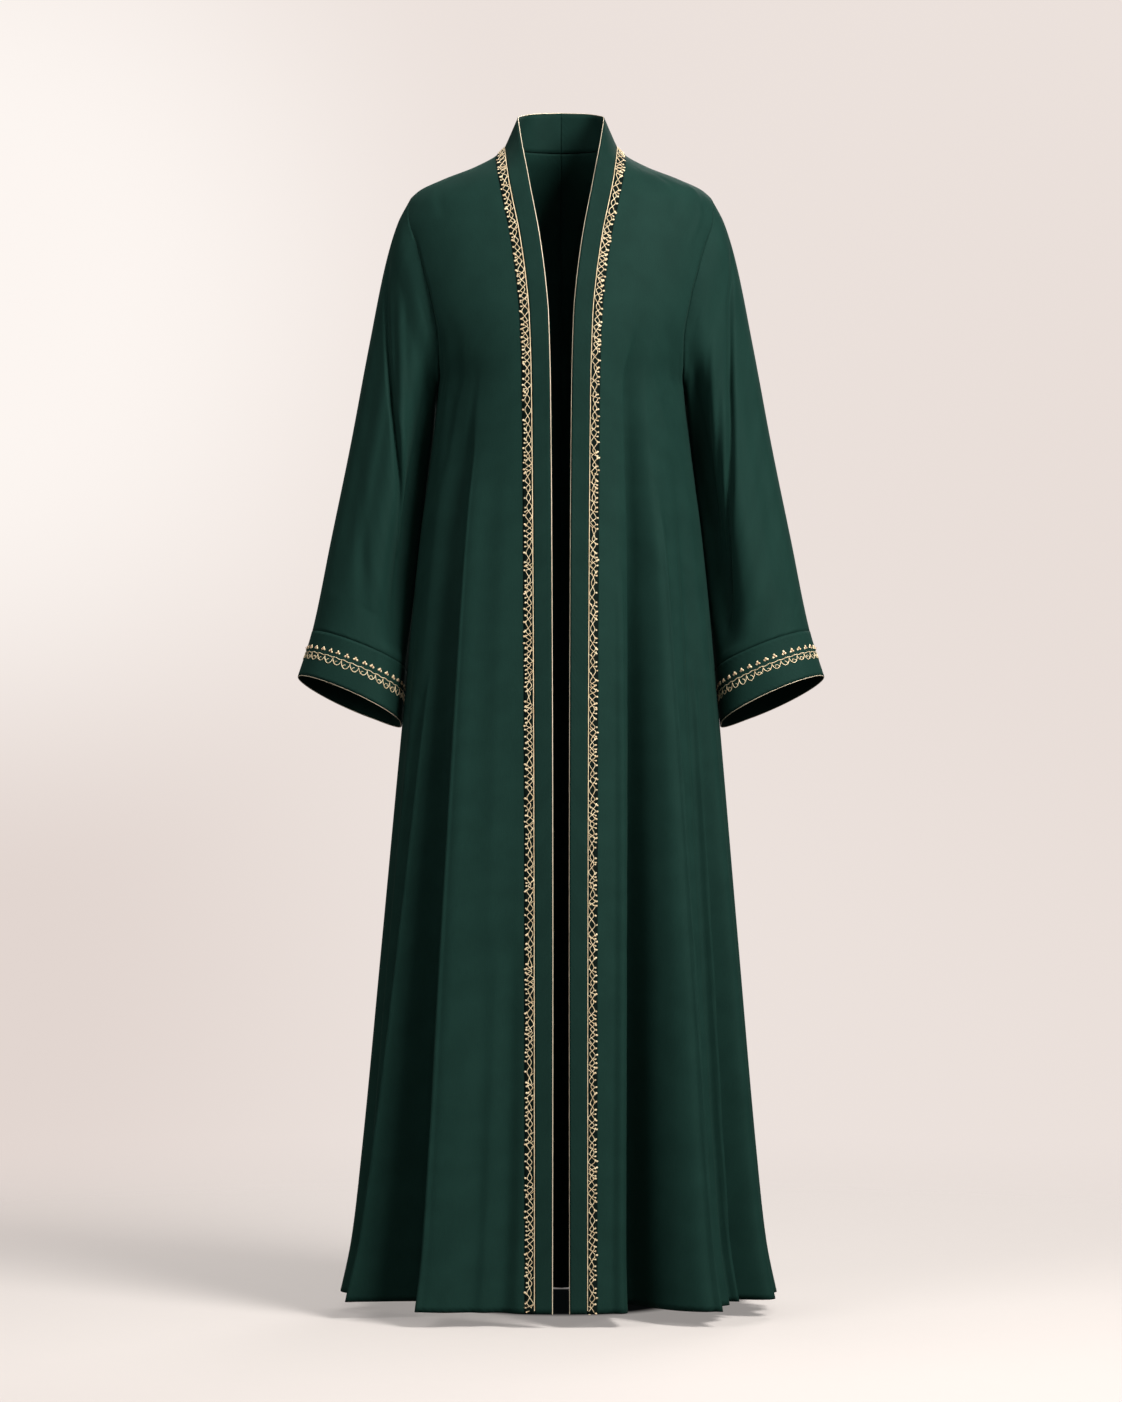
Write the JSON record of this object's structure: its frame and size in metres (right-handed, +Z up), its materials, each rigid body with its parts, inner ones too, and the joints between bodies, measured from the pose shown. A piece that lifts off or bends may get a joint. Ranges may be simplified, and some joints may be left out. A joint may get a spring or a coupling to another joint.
{
  "type": "abaya cloak, open front, filled out with no wearer",
  "caption": "Floor-length open-front abaya cloak with stand collar, flared body, long wide sleeves, gold embroidered strips and piping.",
  "frame": {"origin": "between the two neck points of the shoulder seams, where the cloak rests on the wearer's shoulders", "axes": "+Z up along the wearer, -Y the front, +X the wearer's left"},
  "size_m": [0.661, 0.4225, 1.4993],
  "materials": {
    "green_crepe": "matt crepe with a soft sheen",
    "embroidered_strip": "satin gold thread on green ground",
    "gold_piping": "satin cord"
  },
  "bodies": {
    "root": {"front_left": "green_crepe", "back_left": "green_crepe", "sleeve_left": "green_crepe", "cuff_left": "green_crepe", "band_left": "green_crepe", "trim_left": "embroidered_strip", "cuff_piping_left": "gold_piping", "front_right": "green_crepe", "back_right": "green_crepe", "sleeve_right": "green_crepe", "cuff_right": "green_crepe", "band_right": "green_crepe", "trim_right": "embroidered_strip", "cuff_piping_right": "gold_piping", "neck_piping": "gold_piping"}
  },
  "joints": []
}
